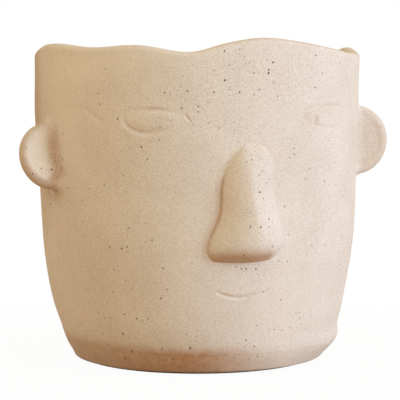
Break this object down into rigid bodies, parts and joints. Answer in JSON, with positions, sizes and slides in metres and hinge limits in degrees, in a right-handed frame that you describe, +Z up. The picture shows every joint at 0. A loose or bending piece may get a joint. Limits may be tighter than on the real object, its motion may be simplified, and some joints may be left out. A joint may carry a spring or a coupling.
{
  "type": "planter",
  "caption": "Round stoneware planter shaped as a plain face, with a wavy rim, two ears, a nose, incised eyes and smile, and a plugged drain hole.",
  "frame": {"origin": "on the pot's axis, in the plane of the base pad's underside that it stands on", "axes": "+Z up along the pot's axis, the face looks along -Y, +X towards the right ear as seen by someone who faces the pot"},
  "size_m": [0.2105, 0.191, 0.1759],
  "materials": {
    "stoneware": "matte",
    "plug_rubber": "matte",
    "pad_felt": "matte"
  },
  "bodies": {
    "pot": {"pot_wall": "stoneware", "floor_slab": "stoneware", "nose": "stoneware", "ear_left": "stoneware", "ear_right": "stoneware", "base_pad": "pad_felt"},
    "plug": {"drain_plug": "plug_rubber"}
  },
  "joints": [
    {"name": "plug_lift", "type": "slide", "parent": "pot", "child": "plug", "axis": [0, 0, 1], "range_m": [0, 0.19]}
  ]
}
